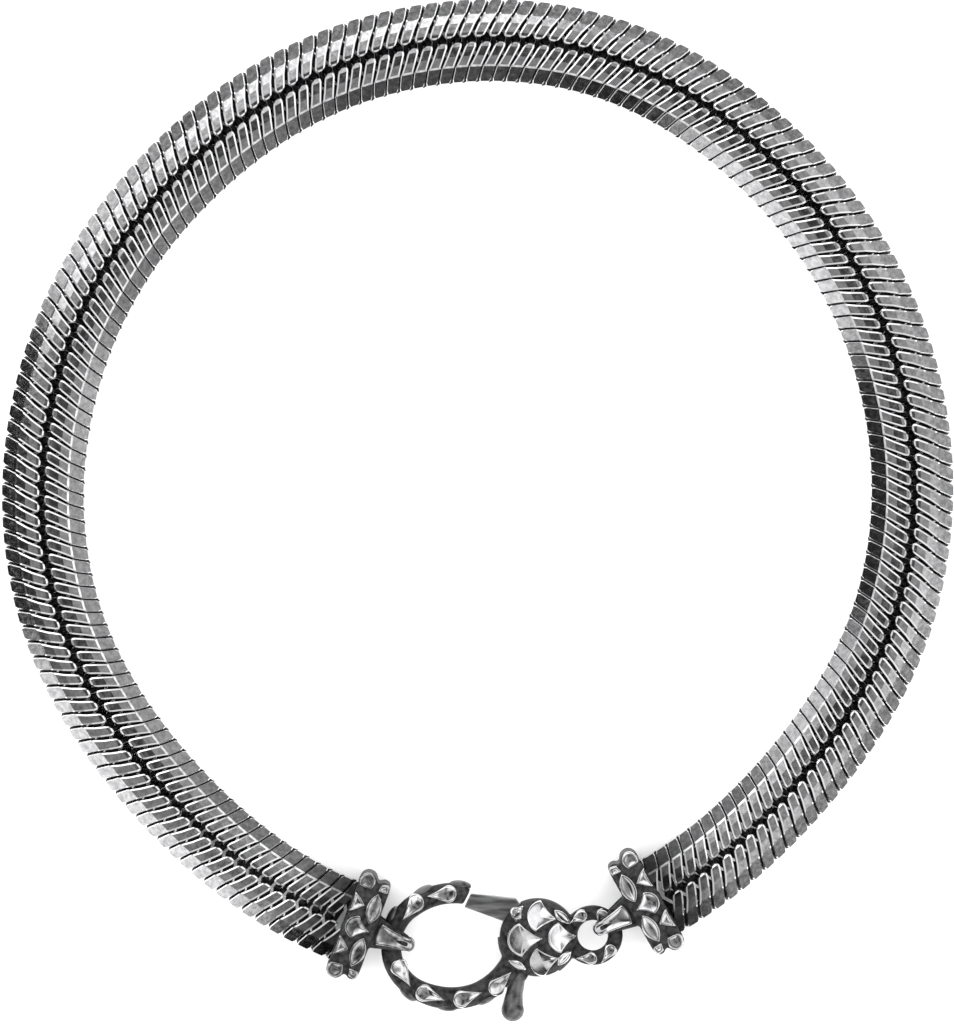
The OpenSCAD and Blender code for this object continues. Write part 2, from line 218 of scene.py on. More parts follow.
@dataclass(frozen=True)
class Finish:
    """A metal finish: two tones mixed by a fine mottle, with its own gloss and grain.

    Attributes:
        name: The material's name.
        dark: Tone of the darker patches, linear.
        light: Tone of the lighter patches, linear.
        metal: How metallic it is.
        gloss: Roughness of the smoothest and roughest patches.
        mottle: Patches to a metre.
        grain: Grains to a metre, for the relief.
        relief: Strength of the grain's relief.
        stretch: How much closer the grain stands along X, Y and Z.
        shine: Specular level of what isn't metal.
        painted_shade_near: Places near which the metal is darkened as painted shade, in metres.
        remains: Share of the tone that remains there.
    """

    name: str
    dark: float
    light: float
    metal: float
    gloss: tuple[float, float]
    mottle: float
    grain: float
    relief: float
    stretch: tuple[float, float, float] = (1.0, 1.0, 1.0)
    shine: float = 0.5
    # Painted shade: the tone is darker near these places
    painted_shade_near: tuple[tuple[float, float, float], ...] = ()
    remains: float = 0.14

    # Distances from such a place up to which the painted shade is full and at which it ends
    PAINTED_SHADE_REACH = (0.0032, 0.0066)
    # Levels of the mottle at which the tone is fully dark and fully light, and the touch of blue in each
    LEVELS = (0.35, 0.65)
    BLUES = (1.02, 1.01)
    # Levels of the mottle at which the gloss is at its smoothest and at its roughest
    GLOSS_LEVELS = (0.3, 0.7)
    GRAIN_DEPTH = 0.02

    def material(self) -> bpy.types.Material:
        """Builds the material once and then hands out the same one.

        Returns:
            The material.
        """
        made = bpy.data.materials.get(self.name)
        if made:
            return made
        made = bpy.data.materials.new(self.name)
        made.use_nodes = True
        tree = made.node_tree
        shader = tree.nodes["Principled BSDF"]
        shader.inputs["Metallic"].default_value = self.metal
        shader.inputs["Specular IOR Level"].default_value = self.shine
        places = add_node(tree, "TexCoord")
        spread = add_node(tree, "Mapping", Scale=self.stretch)
        tree.links.new(places.outputs["Object"], spread.inputs["Vector"])
        patches = add_node(tree, "TexNoise", Scale=self.mottle, Detail=4.0)
        tree.links.new(spread.outputs["Vector"], patches.inputs["Vector"])
        tones = add_node(tree, "ValToRGB")
        stops = zip(tones.color_ramp.elements, self.LEVELS, (self.dark, self.light), self.BLUES)
        for stop, level, tone, blue in stops:
            stop.position = level
            stop.color = (tone, tone, tone * blue, 1.0)
        tree.links.new(patches.outputs["Fac"], tones.inputs["Fac"])
        tone = tones.outputs["Color"]
        # Painted shade near the given places
        for place in self.painted_shade_near:
            tone = self.darken(tree, tone, places.outputs["Object"], place)
        tree.links.new(tone, shader.inputs["Base Color"])
        gloss = add_node(tree, "MapRange", From_Min=self.GLOSS_LEVELS[0], From_Max=self.GLOSS_LEVELS[1],
                         To_Min=self.gloss[0], To_Max=self.gloss[1])
        tree.links.new(patches.outputs["Fac"], gloss.inputs["Value"])
        tree.links.new(gloss.outputs["Result"], shader.inputs["Roughness"])
        grains = add_node(tree, "TexNoise", Scale=self.grain, Detail=3.0)
        tree.links.new(spread.outputs["Vector"], grains.inputs["Vector"])
        relief = add_node(tree, "Bump", Strength=self.relief, Distance=self.GRAIN_DEPTH * MM)
        tree.links.new(grains.outputs["Fac"], relief.inputs["Height"])
        tree.links.new(relief.outputs["Normal"], shader.inputs["Normal"])
        return made

    def darken(self, tree: bpy.types.NodeTree, tone: bpy.types.NodeSocket, at: bpy.types.NodeSocket,
               place: tuple[float, float, float]) -> bpy.types.NodeSocket:
        """Adds nodes that darken a tone near a place, as painted shade.

        Args:
            tree: The material's nodes.
            tone: The tone so far.
            at: Coordinates of the surface.
            place: The middle of the painted shade, in metres.

        Returns:
            The darkened tone.
        """
        away = add_node(tree, "VectorMath")
        away.operation = "DISTANCE"
        away.inputs[1].default_value = place
        tree.links.new(at, away.inputs[0])
        share = add_node(tree, "MapRange", From_Min=self.PAINTED_SHADE_REACH[0], From_Max=self.PAINTED_SHADE_REACH[1],
                         To_Min=self.remains)
        tree.links.new(away.outputs["Value"], share.inputs["Value"])
        darker = add_node(tree, "VectorMath")
        darker.operation = "SCALE"
        tree.links.new(tone, darker.inputs[0])
        tree.links.new(share.outputs["Result"], darker.inputs["Scale"])
        return darker.outputs["Vector"]


# The chain's finishes get painted shade near the two caps, where the links read darker
AT_CAPS = (LEFT_CAP.metres(), RIGHT_CAP.metres())
POLISHED = Finish("polished_silver", 0.86, 0.95, 1.0, (0.1, 0.2), 900.0, 4000.0, 0.12,
                  painted_shade_near=AT_CAPS, remains=0.4)
WORN = Finish("worn_silver", 0.64, 0.97, 1.0, (0.07, 0.16), 2600.0, 4000.0, 0.2, painted_shade_near=AT_CAPS)
BLACKENED = Finish("blackened_silver", 0.01, 0.05, 0.2, (0.45, 0.7), 1500.0, 5000.0, 0.4)
GROUND = Finish("cast_ground", 0.008, 0.05, 0.35, (0.46, 0.66), 2600.0, 5000.0, 1.0, shine=0.3)
SCALE = Finish("polished_scale", 0.7, 0.88, 1.0, (0.1, 0.18), 1600.0, 4000.0, 0.2)
# A darker copy of the scale finish for the left cap: its darker tones are painted shade
SHADED_SCALE = Finish("shaded_scale", 0.28, 0.72, 1.0, (0.12, 0.22), 1800.0, 4000.0, 0.3)
SATIN = Finish("satin_finish", 0.12, 0.5, 0.95, (0.26, 0.42), 900.0, 2500.0, 1.0, (0.35, 2.2, 1.0))
TAIL_METAL = Finish("darkened_silver", 0.05, 0.2, 0.8, (0.3, 0.46), 1300.0, 4000.0, 1.0)


def dress(piece: bpy.types.Object, *finishes: Finish) -> None:
    """Gives a piece its material slots, in order.

    Args:
        piece: The piece.
        finishes: A finish for each slot.
    """
    piece.data.materials.clear()
    for finish in finishes:
        piece.data.materials.append(finish.material())


def hand_over(piece: bpy.types.Object, body: str, slot: Slot, *nodes: str) -> None:
    """Puts a finished piece on its body in place of CAD nodes.

    Args:
        piece: The finished piece, in metres.
        body: The CAD body that it moves with.
        slot: The record's slot. Not used.
        nodes: The CAD nodes that it stands for.
    """
    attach(piece, body)
    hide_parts(*nodes)
    LOG.info("%s: %d faces on %s", piece.name, len(piece.data.polygons), body)


@dataclass(frozen=True)
class Bend:
    """One cross-section of a strip, on its way through the plane of Y (out) and Z (up).

    Attributes:
        out: Distance of the strip's face from the middle.
        height: Height of the face.
        heading: Direction of travel, in degrees from outward towards up.
        lean: Place along X.
        width: Width of the strip along X.
        left: Whether the face is on the left of travel.
        rim: Width of the sloping rims of the face.
    """

    out: float
    height: float
    heading: float
    lean: float
    width: float
    left: bool = True
    rim: float = 0.1

    def middle(self, thick: float) -> Vector:
        """The middle of the cross-section, half the strip's thickness behind its face.

        Args:
            thick: The strip's thickness.

        Returns:
            The middle, in millimetres.
        """
        side = 90.0 if self.left else -90.0
        away = math.radians(self.heading + side)
        back = thick / 2
        return Vector((self.lean, self.out - back * math.cos(away), self.height - back * math.sin(away)))


def bent_strip(bends: list[Bend], thick: float, crown: float = 0.05) -> bpy.types.Object:
    """Extrudes a flat strip with a crowned face along its bends.

    Args:
        bends: The cross-sections in order.
        thick: The strip's thickness.
        crown: Height of the strip's face over the outer edges of its rims.

    Returns:
        The strip. Cross-section k holds vertices 6k to 6k + 5, and the first and last are its end faces.
    """
    first = bends[0]
    half = first.width / 2
    face = thick / 2 if first.left else -thick / 2
    edge = face - math.copysign(crown, face)
    flat = half - first.rim
    profile = [(-half, -face), (half, -face), (half, edge), (flat, face), (-flat, face), (-half, edge)]
    deselect()
    bpy.ops.mesh.primitive_circle_add(vertices=6, radius=1.0, fill_type="NGON")
    band = bpy.context.object
    for vertex, (x, y) in zip(band.data.vertices, profile):
        vertex.co = (x, y, 0.0)
    edit(band)
    here = first.middle(thick)
    # Without a window, transform.rotate turns the other way
    lean = -math.radians(first.heading + 90.0)
    bpy.ops.transform.rotate(value=lean, orient_axis="X", center_override=(0, 0, 0))
    bpy.ops.transform.translate(value=here)
    for before, after in zip(bends, bends[1:]):
        there = after.middle(thick)
        bpy.ops.mesh.extrude_region_move(TRANSFORM_OT_translate={"value": there - here})
        turn = math.radians(before.heading - after.heading)
        bpy.ops.transform.rotate(value=turn, orient_axis="X", center_override=there)
        bpy.ops.transform.resize(value=(after.width / before.width, 1.0, 1.0), center_override=there)
        here = there
    bpy.ops.object.mode_set(mode="OBJECT")
    for k, bend in enumerate(bends):
        ring = [band.data.vertices[6 * k + j] for j in range(6)]
        for vertex in sorted(ring, key=lambda one: abs(one.co.x - bend.lean))[:2]:
            vertex.co.x = bend.lean + math.copysign(bend.width / 2 - bend.rim, vertex.co.x - bend.lean)
    return band


def close_band(band: bpy.types.Object, *ends: tuple[int, int]) -> None:
    """Bridges pairs of end faces.

    Args:
        band: One strip, or several joined.
        ends: For each bridge, the numbers of the two cross-sections that it joins.
    """
    for pair in ends:
        faces = [set(range(6 * k, 6 * k + 6)) for k in pair]
        deselect()
        for part in (band.data.vertices, band.data.edges):
            for item in part:
                item.select = False
        for side in band.data.polygons:
            side.select = set(side.vertices) in faces
        take(band)
        bpy.ops.object.mode_set(mode="EDIT")
        bpy.ops.mesh.select_mode(type="FACE")
        bpy.ops.mesh.bridge_edge_loops()
        leave_edit()


@dataclass
class ChainLink:
    """One link: a flat strip bent into a closed twisted loop of two lobes.

    Attributes:
        pitch: Distance between links along the chain.
        strand: Width of a strand along the chain.
        strip: Thickness of the strip.
        span: How far a link reaches along the chain, in pitches.
        rim: Width of the sloping rims of a strand's face.
        widest_rim: The most that such a rim takes of the strand's width.
        edge_rim: Width of the rims outside the crease.
        crown: Height of the face over the outer edges of its rims.
        roll: How far the whole link leans outward, in degrees.
        crease: Distance of the crease from the middle, where the sloping edge starts.
        outer_edge: Width of the outer lobe's edge, as a share of the inner one's.
        half_width, half_height: Half of what it spans across and upright.
    """

    pitch: float
    strand: float
    strip: float = 0.48
    span: float = 2.5
    rim: float = 0.125
    widest_rim: float = 0.3
    edge_rim: float = 0.06
    crown: float = 0.05
    roll: float = 1.5
    crease: float = 1.98
    outer_edge: float = 0.94
    half_width: float = 3.05
    half_height: float = 2.2

    # Upper half of a lobe from its fingertip in the groove to the chain's edge: out, height, heading,
    # lean in pitches and width as a share of the strand
    UPPER = (
        (0.12, 1.70, 78.0, -0.03, 0.26),
        (0.14, 1.97, 66.0, -0.02, 0.38),
        (0.19, 2.09, 46.0, 0.00, 0.54),
        (0.31, 2.155, 18.0, 0.03, 0.76),
        (0.52, 2.17, 0.0, 0.10, 0.87),
        (1.20, 2.135, -6.0, 0.41, 0.89),
        (1.84, 2.03, -14.0, 0.74, 0.96),
        (1.98, 1.95, -35.0, 0.81, 1.06),
        (2.80, 1.285, -39.0, 1.10, 1.04),
        (2.985, 1.135, -39.0, 1.165, 0.86),
        (3.01, 0.92, -80.0, 1.20, 0.80),
    )
    LOWER = (
        (0.14, 1.97, 62.0, -0.02, 0.50),
        (0.36, 2.16, 10.0, 0.04, 0.80),
        (1.90, 2.00, -24.0, 0.78, 1.00),
        (2.93, 1.16, -62.0, 1.14, 1.04),
    )

    # Faces: the least that faces outward, how far sides and rims are tilted along the chain, and how far
    # from the middle the posts and the rims of the fingertips reach
    FACING = 0.25
    SIDEWAYS = 0.8
    SLOPING = 0.3
    POST = 0.15
    TIP = 0.3

    def lobe(self, inner: bool) -> list[Bend]:
        """The bends of one lobe, from its upper tip round the edge to its lower tip.

        Args:
            inner: Whether it is the lobe on the inner side of the ring.

        Returns:
            The bends in order.
        """
        side = -1.0 if inner else 1.0
        # Both edges slope alike once the link is rolled
        lift = side * math.tan(math.radians(self.roll))
        rows = [(out, high + lift * max(0.0, out - self.crease), head, lean, wide)
                for out, high, head, lean, wide in self.UPPER]
        rows += [(out, -high, -180.0 - head, self.span - lean, wide)
                 for out, high, head, lean, wide in reversed(self.LOWER)]
        bends = []
        for out, high, head, lean, wide in rows:
            heading = -180.0 - head if inner else head
            along = self.span - lean if inner else lean
            wide *= self.outer_edge if out >= self.crease and not inner else 1.0
            width = wide * self.strand
            rim = self.edge_rim if out >= self.crease else min(self.rim, self.widest_rim * width)
            bends.append(Bend(side * out, high, heading, along * self.pitch, width, not inner, rim))
        return bends

    def build(self) -> bpy.types.Object:
        """Models the link as it stands in the chain, leaning outward.

        Returns:
            The link, with its first tip at X 0.
        """
        rows = [self.lobe(inner) for inner in (False, True)]
        link = join([bent_strip(bends, self.strip, self.crown) for bends in rows], "link")
        last = len(rows[0]) - 1
        close_band(link, (last, last + 1), (2 * last + 1, 0))
        self.blacken(link)
        link.rotation_euler.x = math.radians(-self.roll)
        bake_place(link)
        return link

    def blacken(self, link: bpy.types.Object) -> None:
        """Leaves the faces and rims of the strands polished and blackens their sides, backs and posts.

        Args:
            link: The link, before it is rolled.
        """
        dress(link, WORN, POLISHED, BLACKENED)
        for face in link.data.polygons:
            away = Vector((0.0, face.center.y / self.half_width, face.center.z / self.half_height))
            tilt = abs(face.normal.x)
            in_from = abs(face.center.y)
            if away.dot(face.normal) < self.FACING or tilt > self.SIDEWAYS or in_from < self.POST:
                face.material_index = 2
            elif tilt > self.SLOPING or in_from < self.TIP:
                face.material_index = 1


@dataclass
class Chain:
    """The chain: two rows of links along the course in which it lies.

    Attributes:
        links: Number of links.
        left_links: How many of them the left half has.
        ring_at: Middle of the ring, in millimetres.
        low_z: Height of the centreline where the chain lies flat.
        cap_z: Height of the centreline at the caps.
        rise_span: Degrees over which it rises to the caps.
        gap: Free gap between strands, along the chain.
        end_back: Distance from a cap's middle to the chain's first link.
        lead: Length of the course before the chain's start.
    """

    links: int = 165
    left_links: int = 82
    ring_at: tuple[float, float] = (0.07, 1.96)
    low_z: float = 2.2
    cap_z: float = 3.0
    rise_span: float = 32.0
    gap: float = 0.16
    end_back: float = 0.7
    lead: float = 4.0

    # Distance of the centreline from the ring's middle, every 30 degrees clockwise from the far side
    RADII = (36.5, 35.05, 33.45, 32.0, 32.0, 31.55, 31.35, 32.05, 32.45, 31.75, 31.6, 31.75, 31.8, 33.4, 35.0)
    FIRST_ANGLE = -225.0
    ANGLE_STEP = 30.0

    def radius(self, angle: float) -> float:
        """Distance of the centreline from the ring's middle.

        Args:
            angle: Clockwise from the far side, in degrees.

        Returns:
            The distance, in millimetres.
        """
        place = (angle - self.FIRST_ANGLE) / self.ANGLE_STEP
        i = math.floor(place)
        u = place - i
        p = [self.RADII[i + k] for k in (-1, 0, 1, 2)]
        mix = p[0] * (2 * u * u - u - u ** 3) + p[1] * (2 - 5 * u * u + 3 * u ** 3)
        mix += p[2] * (u + 4 * u * u - 3 * u ** 3) + p[3] * (u ** 3 - u * u)
        return mix / 2

    def point(self, angle: float) -> Vector:
        """A point of the centreline, seen from above."""
        a = math.radians(angle)
        return Vector(self.ring_at) + self.radius(angle) * Vector((math.sin(a), math.cos(a)))

    def rate(self, angle: float) -> float:
        """Millimetres along the centreline for each degree."""
        return (self.point(angle + 0.5) - self.point(angle - 0.5)).length

    def cap_angle(self, place: Place) -> float:
        """The angle at which a cap sits on the course."""
        return math.degrees(math.atan2(place.x - self.ring_at[0], place.y - self.ring_at[1]))

    def ends(self) -> tuple[float, float]:
        """The angles at which the first link starts and the last one ends.

        Returns:
            Both angles, in degrees.
        """
        left = self.cap_angle(LEFT_CAP)
        right = self.cap_angle(RIGHT_CAP)
        return left + self.end_back / self.rate(left), right - self.end_back / self.rate(right)

    def length(self, start: float, end: float, steps: int = 400) -> float:
        """Length of the centreline between two angles."""
        step = (end - start) / steps
        return step * sum(self.rate(start + (i + 0.5) * step) for i in range(steps))

    def pitch(self) -> float:
        """Distance between links, with room at the end for the reach of the last one."""
        return self.length(*self.ends()) / (self.links - 1 + ChainLink.span)

    def height(self, angle: float, start: float, end: float) -> float:
        """Height of the centreline, which rises to the caps at both ends.

        Args:
            angle: Where on the course, in degrees.
            start, end: The angles of the chain's two ends.

        Returns:
            The height, in millimetres.
        """
        near = min(angle - start, end - angle) / self.rise_span
        u = max(0.0, min(1.0, 1.0 - near))
        return self.low_z + (self.cap_z - self.low_z) * u * u * (3 - 2 * u)

    def course(self, steps: int = 600) -> bpy.types.Object:
        """Draws the course as a curve, with a lead before the start and after the end.

        Args:
            steps: How many straight stretches it has.

        Returns:
            The curve.
        """
        start, end = self.ends()
        first = start - self.lead / self.rate(start)
        last = end + self.lead / self.rate(end)
        drawn = bpy.data.curves.new("course", "CURVE")
        drawn.dimensions = "3D"
        drawn.twist_mode = "Z_UP"
        line = drawn.splines.new("POLY")
        line.points.add(steps)
        for i, spot in enumerate(line.points):
            angle = first + (last - first) * i / steps
            at = self.point(angle)
            spot.co = (at.x, at.y, self.height(angle, start, end), 1.0)
        course = bpy.data.objects.new("course", drawn)
        bpy.context.scene.collection.objects.link(course)
        return course

    def half(self, link: bpy.types.Object, course: bpy.types.Object, first: int, count: int,
             name: str) -> bpy.types.Object:
        """Repeats the link along its part of the course.

        Args:
            link: The link, modelled straight.
            course: The curve that the chain follows.
            first: Number of the half's first link.
            count: Number of its links.
            name: Name of the piece.

        Returns:
            The half chain, dressed and settled.
        """
        start = self.ends()[0]
        lead = self.length(start - self.lead / self.rate(start), start, 40)
        piece = copy_of(link, name)
        piece.location.x = lead + first * self.pitch()
        bake_place(piece)
        modify(piece, "ARRAY", count=count, use_relative_offset=False, use_constant_offset=True,
               constant_offset_displace=(self.pitch(), 0.0, 0.0))
        modify(piece, "CURVE", object=course, deform_axis="POS_X")
        Place().settle(piece)
        return piece

    def build(self) -> None:
        """Builds both halves and hands them over."""
        link = ChainLink(self.pitch(), self.pitch() - self.gap).build()
        course = self.course()
        # One more link at each end lies half in its socket and fills most of the corner that the lean leaves
        left = self.half(link, course, -1, self.left_links + 1, "chain_left")
        right = self.half(link, course, self.left_links, self.links - self.left_links + 1, "chain_right")
        scrap(link, course)
        hand_over(left, "bracelet", Slot.CHAIN, "chain_left_half")
        hand_over(right, "bracelet", Slot.CHAIN, "chain_right_half")


def block(low: tuple[float, float, float], high: tuple[float, float, float]) -> bpy.types.Object:
    """A block between two corners.

    Args:
        low: Its lowest corner.
        high: The corner across from it.

    Returns:
        The block.
    """
    deselect()
    middle = [(a + b) / 2 for a, b in zip(low, high)]
    bpy.ops.mesh.primitive_cube_add(size=2.0, location=middle)
    solid = bpy.context.object
    solid.scale = [(b - a) / 2 for a, b in zip(low, high)]
    bake_place(solid)
    return solid


def prism(points: list[tuple[float, float]], low: float, high: float) -> bpy.types.Object:
    """Raises a flat outline into a solid between two heights.

    Args:
        points: Corners of the outline, in order.
        low: Height of its lower face.
        high: Height of its upper face.

    Returns:
        The solid.
    """
    deselect()
    bpy.ops.mesh.primitive_circle_add(vertices=len(points), radius=1.0, fill_type="NGON")
    solid = bpy.context.object
    for vertex, (x, y) in zip(solid.data.vertices, points):
        vertex.co = (x, y, low)
    edit(solid)
    bpy.ops.mesh.extrude_region_move(TRANSFORM_OT_translate={"value": (0.0, 0.0, high - low)})
    leave_edit()
    return solid


def column(x: float, y: float, radius: float, half: float, soft: float = 0.0) -> bpy.types.Object:
    """An upright round column, with its rims rounded if soft is given.

    Args:
        x, y: Its middle.
        radius: Its radius.
        half: Half of its height.
        soft: Radius of its rims.

    Returns:
        The column.
    """
    deselect()
    bpy.ops.mesh.primitive_cylinder_add(vertices=48, radius=radius, depth=2 * half, location=(x, y, 0.0))
    solid = bpy.context.object
    if soft:
        edit(solid)
        bpy.ops.mesh.bevel(offset=soft, segments=3, affect="EDGES")
        leave_edit()
    bake_place(solid)
    return solid


def ball(at: tuple[float, float, float], radii: tuple[float, float, float]) -> bpy.types.Object:
    """A ball stretched to three radii.

    Args:
        at: Its middle.
        radii: Its radii along X, Y and Z.

    Returns:
        The ball.
    """
    deselect()
    bpy.ops.mesh.primitive_uv_sphere_add(segments=48, ring_count=24, radius=1.0, location=at)
    solid = bpy.context.object
    solid.scale = radii
    bake_place(solid)
    return solid


def tube(points: list[tuple[float, float, float]]) -> bpy.types.Object:
    """A round wire along some points, each given with the wire's radius there.

    Args:
        points: Place and radius for each point.

    Returns:
        The wire.
    """
    drawn = bpy.data.curves.new("wire", "CURVE")
    drawn.dimensions = "3D"
    drawn.bevel_depth = 1.0
    drawn.bevel_resolution = 6
    drawn.use_fill_caps = True
    line = drawn.splines.new("POLY")
    line.points.add(len(points) - 1)
    for spot, (x, y, radius) in zip(line.points, points):
        spot.co = (x, y, 0.0, 1.0)
        spot.radius = radius
    wire = bpy.data.objects.new("wire", drawn)
    bpy.context.scene.collection.objects.link(wire)
    take(wire)
    bpy.ops.object.convert(target="MESH")
    return bpy.context.object


def cut_off(solid: bpy.types.Object, at: tuple[float, float], turn: float, keep_behind: bool) -> None:
    """Cuts a solid at an upright plane and closes the cut.

    Args:
        solid: The solid to cut.
        at: A point of the plane, seen from above.
        turn: Direction that the plane faces, in degrees.
        keep_behind: Whether the part behind the plane stays, and not the part before it.
    """
    edit(solid)
    facing = on_circle((0.0, 0.0), 1.0, turn)
    bpy.ops.mesh.bisect(plane_co=(*at, 0.0), plane_no=(*facing, 0.0), use_fill=True,
                        clear_outer=keep_behind, clear_inner=not keep_behind)
    leave_edit()


def carve(solid: bpy.types.Object, *tools: bpy.types.Object) -> None:
    """Cuts the tools out of a solid and removes them.

    Args:
        solid: The solid to cut.
        tools: What is cut out of it.
    """
    for tool in tools:
        modify(solid, "BOOLEAN", object=tool, operation="DIFFERENCE", solver="EXACT")
    scrap(*tools)


def cast(parts: list[bpy.types.Object], name: str, grid: float, soften: int) -> bpy.types.Object:
    """Melts overlapping solids into one casting with soft inner corners.

    Args:
        parts: The solids.
        name: Name of the casting.
        grid: Size of its facets.
        soften: How many times its surface is smoothed.

    Returns:
        The casting.
    """
    casting = join(parts, name)
    modify(casting, "REMESH", mode="VOXEL", voxel_size=grid, use_smooth_shade=True)
    modify(casting, "SMOOTH", iterations=soften, factor=0.5)
    return casting


def outline(corners: list[tuple[float, float, float]], spacing: float = 0.13) -> tuple[Vector, ...]:
    """Points round a flat shape.

    Args:
        corners: Its corners anticlockwise, each with the bulge of the edge after it.
        spacing: Distance between points.

    Returns:
        The points, anticlockwise.
    """
    points = []
    for (x, y, bulge), (next_x, next_y, _) in zip(corners, corners[1:] + corners[:1]):
        edge = Vector((next_x - x, next_y - y))
        chord = edge.length
        along = edge / chord
        out = Vector((along.y, -along.x))
        middle = Vector((x + next_x, y + next_y)) / 2
        phi = max(1e-3, 2 * math.atan(2 * abs(bulge) / chord))
        radius = chord / 2 / math.sin(phi)
        steps = max(2, round(2 * phi * radius / spacing))
        for i in range(steps):
            psi = -phi + 2 * phi * i / steps
            swell = math.copysign(radius * (math.cos(psi) - math.cos(phi)), bulge)
            points.append(middle + along * radius * math.sin(psi) + out * swell)
    return tuple(points)


def spade(half: float, back: float, tip: float) -> tuple[Vector, ...]:
    """A scale with a round back, two corners and hollow flanks to its tip."""
    hollow = -0.06 * math.hypot(half, tip)
    return outline([(0.0, -half, hollow), (tip, 0.0, hollow), (0.0, half, back)])


def leaf(length: float, width: float) -> tuple[Vector, ...]:
    """A leaf pointed at both ends."""
    return outline([(-length / 2, 0.0, width / 2), (length / 2, 0.0, width / 2)])


def drop(length: float, width: float) -> tuple[Vector, ...]:
    """A drop with a round end that runs to a point.

    Args:
        length: From the round end to the point.
        width: Across the round end.

    Returns:
        The points, anticlockwise, round the middle of the round end.
    """
    r = width / 2
    reach = length - r
    touch = r * r / reach
    side = r * math.sqrt(1 - (r / reach) ** 2)
    return outline([(touch, -side, -0.03), (reach, 0.0, -0.03), (touch, side, r + touch)])


@dataclass(frozen=True)
class Pad:
    """One polished scale, to be laid on a casting.

    Attributes:
        shape: Its outline in its own frame.
        x, y: Its place on the casting.
        turn: Its turn, in degrees.
    """

    shape: tuple[Vector, ...]
    x: float = 0.0
    y: float = 0.0
    turn: float = 0.0

    # Distance in from the outline and lift over the casting, of each ring from the foot to the crown
    RINGS = ((-0.02, -0.15), (0.0, 0.08), (0.05, 0.18), (0.12, 0.2), (0.22, 0.155))
    CROWN = 0.06
    # The most that a ring lies in, as a share of half the scale
    MOST_IN = 0.7
    # Height at which the scales are modelled, clear of any casting, and rise from ring to ring until then
    CLEAR = 5.0
    STEP = 0.05

    def mirrored(self) -> "Pad":
        """The same scale on the other side of the middle."""
        shape = tuple(Vector((p.x, -p.y)) for p in reversed(self.shape))
        return Pad(shape, self.x, -self.y, -self.turn)

    def build(self, height: float) -> bpy.types.Object:
        """Models the scale flat at a height, ring inside ring, with a vertex group for each ring.

        Args:
            height: Height of its foot.

        Returns:
            The scale, at its place on the casting.
        """
        count = len(self.shape)
        middle = sum(self.shape, Vector((0.0, 0.0))) / count
        half_x = (max(p.x for p in self.shape) - min(p.x for p in self.shape)) / 2
        half_y = (max(p.y for p in self.shape) - min(p.y for p in self.shape)) / 2
        pad = prism([(p.x, p.y) for p in self.shape], height, height + self.STEP)
        edit(pad)
        bpy.ops.mesh.select_all(action="DESELECT")
        bpy.ops.object.mode_set(mode="OBJECT")
        top = max(pad.data.polygons, key=lambda face: face.center.z)
        top.select = True
        bpy.ops.object.mode_set(mode="EDIT")
        before = self.RINGS[1][0]
        for inward, _ in self.RINGS[2:]:
            bpy.ops.mesh.extrude_region_move(TRANSFORM_OT_translate={"value": (0.0, 0.0, self.STEP)})
            shares = []
            for half in (half_x, half_y):
                most = self.MOST_IN * half
                shares.append((1 - min(inward, most) / half) / (1 - min(before, most) / half))
            bpy.ops.transform.resize(value=(*shares, 1.0), center_override=(*middle, height))
            before = inward
        bpy.ops.mesh.poke()
        leave_edit()
        for ring in range(len(self.RINGS)):
            members = list(range(ring * count, (ring + 1) * count))
            pad.vertex_groups.new(name=f"ring_{ring}").add(members, 1.0, "REPLACE")
        pad.vertex_groups.new(name="crown").add([len(self.RINGS) * count], 1.0, "REPLACE")
        pad.rotation_euler.z = math.radians(self.turn)
        pad.location = (self.x, self.y, 0.0)
        bake_place(pad)
        return pad


def lay_scales(pads: list[Pad], casting: bpy.types.Object, name: str) -> bpy.types.Object:
    """Lays scales on the upper and lower face of a casting.

    Args:
        pads: The scales of one face.
        casting: What they lie on.
        name: Name of the result.

    Returns:
        All the scales as one object.
    """
    upper = join([pad.build(Pad.CLEAR) for pad in pads], name)
    lower = copy_of(upper, "lower")
    lower.scale.z = -1.0
    bake_place(lower)
    edit(lower)
    leave_edit()
    scales = join([upper, lower], name)
    modify(scales, "SHRINKWRAP", target=casting, wrap_method="PROJECT", use_project_z=True,
           use_negative_direction=True, use_positive_direction=True)
    lifts = [(f"ring_{i}", lift) for i, (_, lift) in enumerate(Pad.RINGS)] + [("crown", Pad.CROWN)]
    for group, lift in lifts:
        modify(scales, "SHRINKWRAP", target=casting, wrap_method="NEAREST_SURFACEPOINT",
               wrap_mode="ABOVE_SURFACE", offset=lift, vertex_group=group)
    scales.vertex_groups.clear()
    take(scales)
    bpy.ops.object.shade_smooth()
    return scales


def finish_casting(casting: bpy.types.Object, scales: bpy.types.Object, name: str) -> bpy.types.Object:
    """Joins a dark casting and its polished scales into one piece.

    Args:
        casting: The casting.
        scales: Its scales.
        name: Name of the piece.

    Returns:
        The piece.
    """
    dress(casting, GROUND)
    dress(scales, SCALE)
    return join([casting, scales], name)


